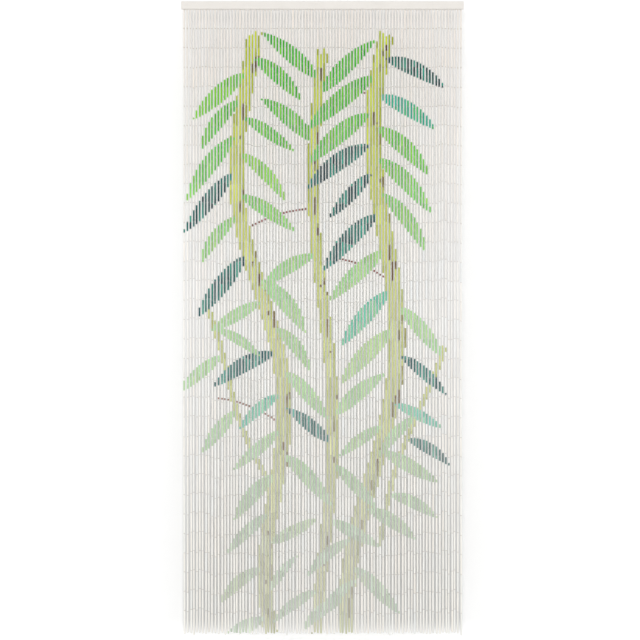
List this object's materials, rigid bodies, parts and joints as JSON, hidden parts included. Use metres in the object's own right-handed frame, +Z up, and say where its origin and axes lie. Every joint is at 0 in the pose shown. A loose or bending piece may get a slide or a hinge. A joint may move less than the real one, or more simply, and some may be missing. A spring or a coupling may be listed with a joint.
{
  "type": "bamboo fly screen curtain with its rail",
  "caption": "Door curtain of hanging bamboo tube strings under a narrow wooden rail, painted with leafy stems, that keeps flies out.",
  "frame": {"origin": "middle of the rail's flat back face", "axes": "+X along the rail, +Y out of the rail's back towards the wall or door frame, +Z up; the strands hang down along -Z"},
  "size_m": [0.895, 0.01, 2.008],
  "materials": {
    "rail_paint": "satin ivory paint on a wooden batten",
    "tube_paint": "thin off-white paint on bamboo tubes, with green stems and leaves",
    "link_wire": "thin dull steel wire"
  },
  "bodies": {
    "root": {"rail": "rail_paint", "strands": "tube_paint"}
  },
  "joints": []
}
